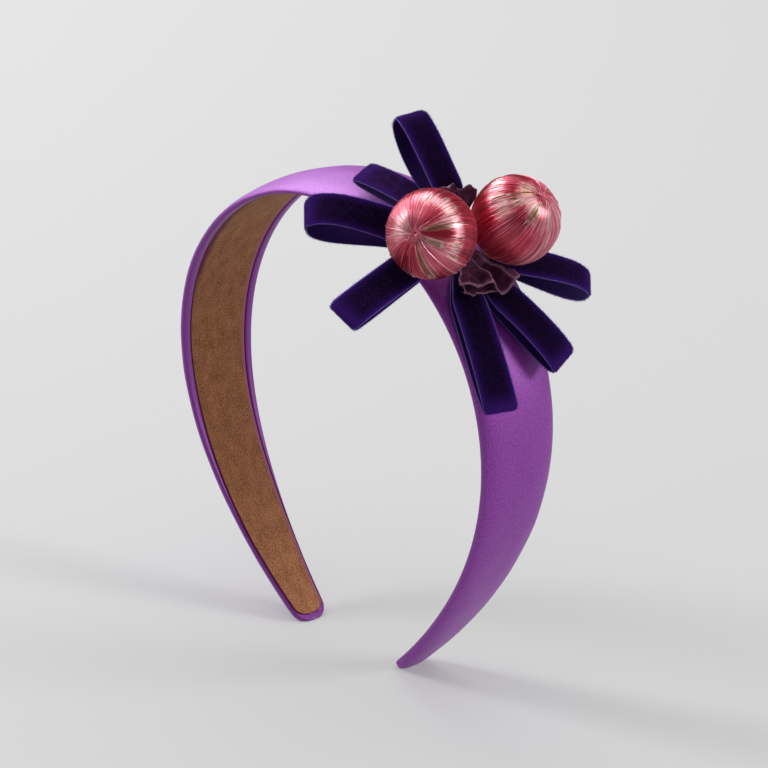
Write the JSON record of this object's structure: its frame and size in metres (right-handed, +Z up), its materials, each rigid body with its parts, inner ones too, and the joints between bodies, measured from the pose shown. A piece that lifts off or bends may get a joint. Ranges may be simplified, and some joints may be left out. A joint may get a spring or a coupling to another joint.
{
  "type": "headband",
  "caption": "Wide satin headband lined with suede, trimmed with thread-wound balls and a bow of velvet ribbon loops, standing on its tips.",
  "frame": {"origin": "on the ground, midway between the two tips that the headband stands on", "axes": "+X from the plain arm to the arm with the trim, +Y across the width of the band, +Z up"},
  "size_m": [0.1413, 0.0806, 0.1646],
  "materials": {
    "satin": "glossy satin, bright where it faces up",
    "suede": "matt brown nap",
    "wound_thread": "silky variegated thread",
    "velvet_ribbon": "dark cut pile with a violet sheen",
    "plum_velvet": "crumpled matt pile"
  },
  "bodies": {
    "root": {"satin_band": "satin", "suede_lining": "suede", "wound_ball_near": "wound_thread", "wound_ball_far": "wound_thread", "velvet_loop_top": "velvet_ribbon", "velvet_loop_small": "velvet_ribbon", "velvet_loop_left": "velvet_ribbon", "velvet_loop_lower_left": "velvet_ribbon", "velvet_loop_down": "velvet_ribbon", "velvet_loop_lower_right": "velvet_ribbon", "velvet_loop_right": "velvet_ribbon", "gathered_ruffle": "plum_velvet"}
  },
  "joints": []
}
